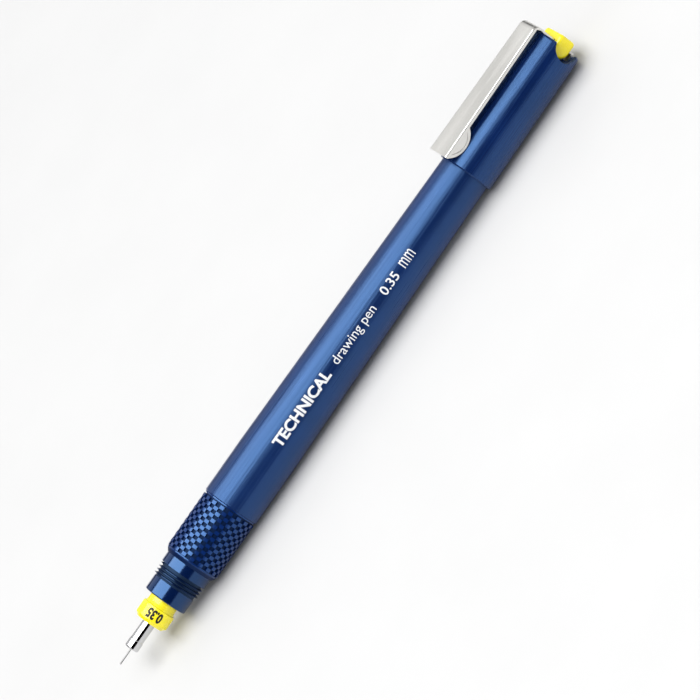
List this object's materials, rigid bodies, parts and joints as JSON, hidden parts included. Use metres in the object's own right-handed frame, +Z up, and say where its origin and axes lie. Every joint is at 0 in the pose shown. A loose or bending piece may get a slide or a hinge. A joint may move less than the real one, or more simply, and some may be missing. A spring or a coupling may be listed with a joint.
{
  "type": "technical pen",
  "caption": "Refillable drafting pen with a tubular writing point, threaded front holder, relief-textured grip, tapered barrel and a clip cap posted on its rear.",
  "frame": {"origin": "on the floor under the middle of the pen's length, below its axis", "axes": "+X runs along the pen from the writing tip to the cap; +Z is up, the side the clip is on, with the pen lying down; +Y completes a right-handed frame"},
  "size_m": [0.1512, 0.012, 0.014],
  "materials": {
    "barrel_plastic": "satin-gloss moulded blue plastic",
    "holder_plastic": "polished blue plastic",
    "grip_plastic": "satin-gloss blue plastic",
    "cap_plastic": "satin-gloss moulded blue plastic",
    "yellow_plastic": "glossy yellow colour-code plastic",
    "chrome": "polished",
    "tube_steel": "fine ground",
    "wire_steel": "drawn",
    "weight_steel": "turned",
    "clip_steel": "satin",
    "spring_steel": "drawn",
    "black_moulding": "matt",
    "clear_moulding": "translucent",
    "white_moulding": "matt",
    "seal_rubber": "matt",
    "cup_rubber": "matt"
  },
  "bodies": {
    "front": {"front_holder": "holder_plastic", "grip_sleeve": "grip_plastic", "regulating_sleeve": "black_moulding"},
    "barrel_seal": {"barrel_seal_ring": "seal_rubber"},
    "barrel": {"barrel": "barrel_plastic"},
    "point_seal": {"point_seal_ring": "seal_rubber"},
    "point": {"point_body": "yellow_plastic", "point_shoulder": "chrome", "capillary_tube": "tube_steel", "compensating_helix": "black_moulding", "weight_retainer": "white_moulding"},
    "weight": {"drop_weight": "weight_steel", "cleaning_wire": "wire_steel"},
    "cartridge": {"ink_cartridge": "clear_moulding"},
    "cap_core": {"cap_liner": "white_moulding", "cap_seal_spring": "spring_steel"},
    "cap": {"cap_shell": "cap_plastic", "clip_strap": "clip_steel", "cap_saddle": "yellow_plastic"},
    "clip": {"clip_blade": "clip_steel"},
    "cap_seal": {"cap_seal_cup": "cup_rubber"}
  },
  "joints": [
    {"name": "barrel_travel", "type": "slide", "parent": "front", "child": "barrel_seal", "axis": [1, 0, 0], "range_m": [0, 0.0045]},
    {"name": "barrel_turn", "type": "hinge", "parent": "barrel_seal", "child": "barrel", "pos_m": [-0.0336, 0, 0.00602], "axis": [1, 0, 0], "range_deg": [0, 1080]},
    {"name": "point_travel", "type": "slide", "parent": "front", "child": "point_seal", "axis": [-1, 0, 0], "range_m": [0, 0.00375]},
    {"name": "point_turn", "type": "hinge", "parent": "point_seal", "child": "point", "pos_m": [-0.0591, 0, 0.00602], "axis": [-1, 0, 0], "range_deg": [0, 1800]},
    {"name": "weight_drop", "type": "slide", "parent": "point", "child": "weight", "axis": [1, 0, 0], "range_m": [-0.0003, 0.003]},
    {"name": "cartridge_pull", "type": "slide", "parent": "front", "child": "cartridge", "axis": [1, 0, 0], "range_m": [0, 0.008]},
    {"name": "cap_pull", "type": "slide", "parent": "barrel", "child": "cap_core", "axis": [1, 0, 0], "range_m": [0, 0.016]},
    {"name": "cap_turn", "type": "hinge", "parent": "cap_core", "child": "cap", "pos_m": [0.0624, 0, 0.00602], "axis": [1, 0, 0], "continuous": true},
    {"name": "clip_flex", "type": "hinge", "parent": "cap", "child": "clip", "pos_m": [0.0741, 0, 0.01231], "axis": [0, 1, 0], "range_deg": [0, 5], "stiffness_Nm_per_rad": 0.6},
    {"name": "seal_press", "type": "slide", "parent": "cap_core", "child": "cap_seal", "axis": [1, 0, 0], "range_m": [0, 0.0008], "stiffness_N_per_m": 300, "deforming": ["cap_seal_spring"]}
  ],
  "couplings": [
    {"joint": "barrel_travel", "follows": "barrel_turn", "m_per_rad": 0.00023873},
    {"joint": "point_turn", "follows": "point_travel", "rad_per_m": 8377.6}
  ]
}
